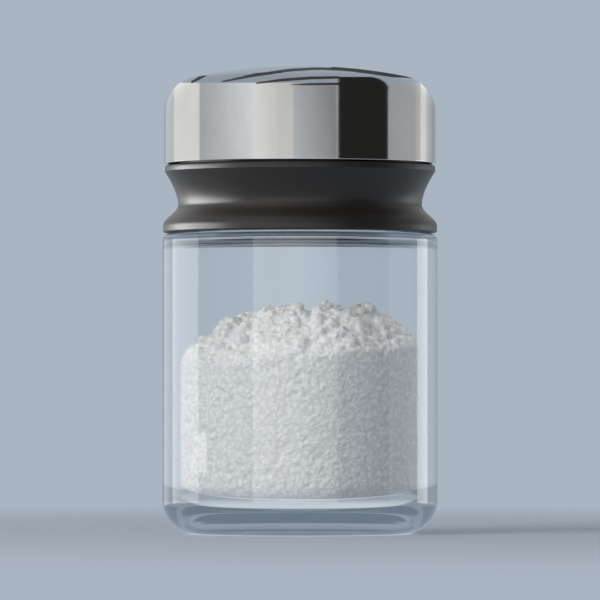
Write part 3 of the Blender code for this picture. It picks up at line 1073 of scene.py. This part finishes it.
def mirrored(seenX, seenZ, far, slope=capSlope):
    # the spot at a distance that the camera sees mirrored in the cap's front, or in the jar's
    x, z, depth = seenX, seenZ, 0.0
    for i in range(cards["rounds"]):
        tilt, radius = slope(z)
        depth = math.sqrt(max(0.0, radius ** 2 - x ** 2))
        near = 1 - depth / view["distance"]  # places are read in the plane through the axis
        x, z = seenX * near, view["height"] + (seenZ - view["height"]) * near
    turn = math.asin(max(-cards["edgeOn"], min(cards["edgeOn"], x / radius)))
    normal = Vector((math.cos(tilt) * math.sin(turn), -math.cos(tilt) * math.cos(turn), math.sin(tilt)))
    place = Vector((x, -depth, z))
    look = (place - camera.location).normalized()
    return place + (look - 2 * look.dot(normal) * normal) * far


def newCard(name, columns, rows):
    clearSelection()
    bpy.ops.mesh.primitive_grid_add(x_subdivisions=columns, y_subdivisions=rows, size=1)
    card = bpy.context.object
    card.name = card.data.name = name
    return card


def lightCard(card, left, right, foot=1.0):
    material, _, coords = newMaterial(card.name)
    spread = coords.add("UVMap", {}, {})
    across = spread.add("SeparateXYZ", {}, {0: spread})
    up = spread.add("SeparateXYZ", {}, {0: spread}, output=1)
    lift = up.ease(*cards["lowStrip"], foot, 1.0)
    glow = lift.add("Emission", {}, {"Color": across.mixColor(left, right), "Strength": lift})
    lift.tree.links.new(glow.socket, lift.tree.nodes["Material Output"].inputs["Surface"])
    card.data.materials.append(material)
    for ray in ("camera", "diffuse", "transmission", "shadow", "volume_scatter"):
        setattr(card, "visible_" + ray, False)


def layPanel(name, fromShare, toShare, left, right, tint, foot):
    card = newCard(name, cards["columns"], cards["rows"])
    edgeHeight = capEdge(cap)[1]
    firstRow = 1 / cards["rows"]
    for v in card.data.vertices:
        across, up = v.co.x + 0.5, v.co.y + 0.5
        x = cap["radius"] * (fromShare + (toShare - fromShare) * across)
        top = cards["top"]
        if name == "card_black":
            bend = max(0.0, across - blackCorner["from"]) / (1 - blackCorner["from"])
            top = blackCorner["top"] - blackCorner["drop"] * (1 - math.sqrt(1 - bend ** 2))
        climb = max(0.0, up - firstRow) / (1 - firstRow)
        v.co = mirrored(x, edgeHeight + (top - edgeHeight) * climb, cards["distance"])
        if up < firstRow / 2:
            v.co.z = cards["foot"]
    lightCard(card, tuple(left * c for c in tint), tuple(right * c for c in tint), foot)


def layStrip(name, places):
    card = newCard(name, cards["columns"], 1)
    for v in card.data.vertices:
        along = (v.co.x + 0.5) * (len(places) - 1)
        i = min(int(along), len(places) - 2)
        start, end = Vector(places[i]), Vector(places[i + 1])
        x, z, thick = (start + (end - start) * (along - i)) * mm
        v.co = mirrored(x, z + v.co.y * thick, cards["distance"] * cards["stripNearer"])
    left, right = cards["stripTones"]
    lightCard(card, (left,) * 3, (right,) * 3)


def layWindow(name, w):
    card = newCard(name, 4, 4)
    for v in card.data.vertices:
        across, up = v.co.x + 0.5, v.co.y + 0.5
        x = w["x"][0] + (w["x"][1] - w["x"][0]) * across + w["lean"] * (up - across * up)
        z = w["z"][0] + (w["z"][1] - w["z"][0]) * up
        v.co = mirrored(x, z, cards["distance"] * cards["windowNearer"], jarSlope)
    lightCard(card, (w["glow"],) * 3, (w["glow"],) * 3)


makeWorld(studio)
makeFloor(studio)
keyLight = makeLamp("key_lamp", keyLamp)
keyLight.visible_glossy = False
keyLight.visible_transmission = False
rimLight = makeLamp("rim_lamp", rimLamp)
lightOnly(rimLight, collarPiece)
for lampName, lampPlace in heapLamps.items():
    heapLight = makeLamp(lampName, lampPlace)
    heapLight.light_linking.blocker_collection = lightOnly(heapLight, heapPiece)  # passes glass and cap
for cardName, cardPlace in panelCards.items():
    layPanel(cardName, *cardPlace)
for stripName, stripPlaces in darkStrips.items():
    layStrip(stripName, stripPlaces)
layWindow("glass_window", glassWindow)
print("studio ready")
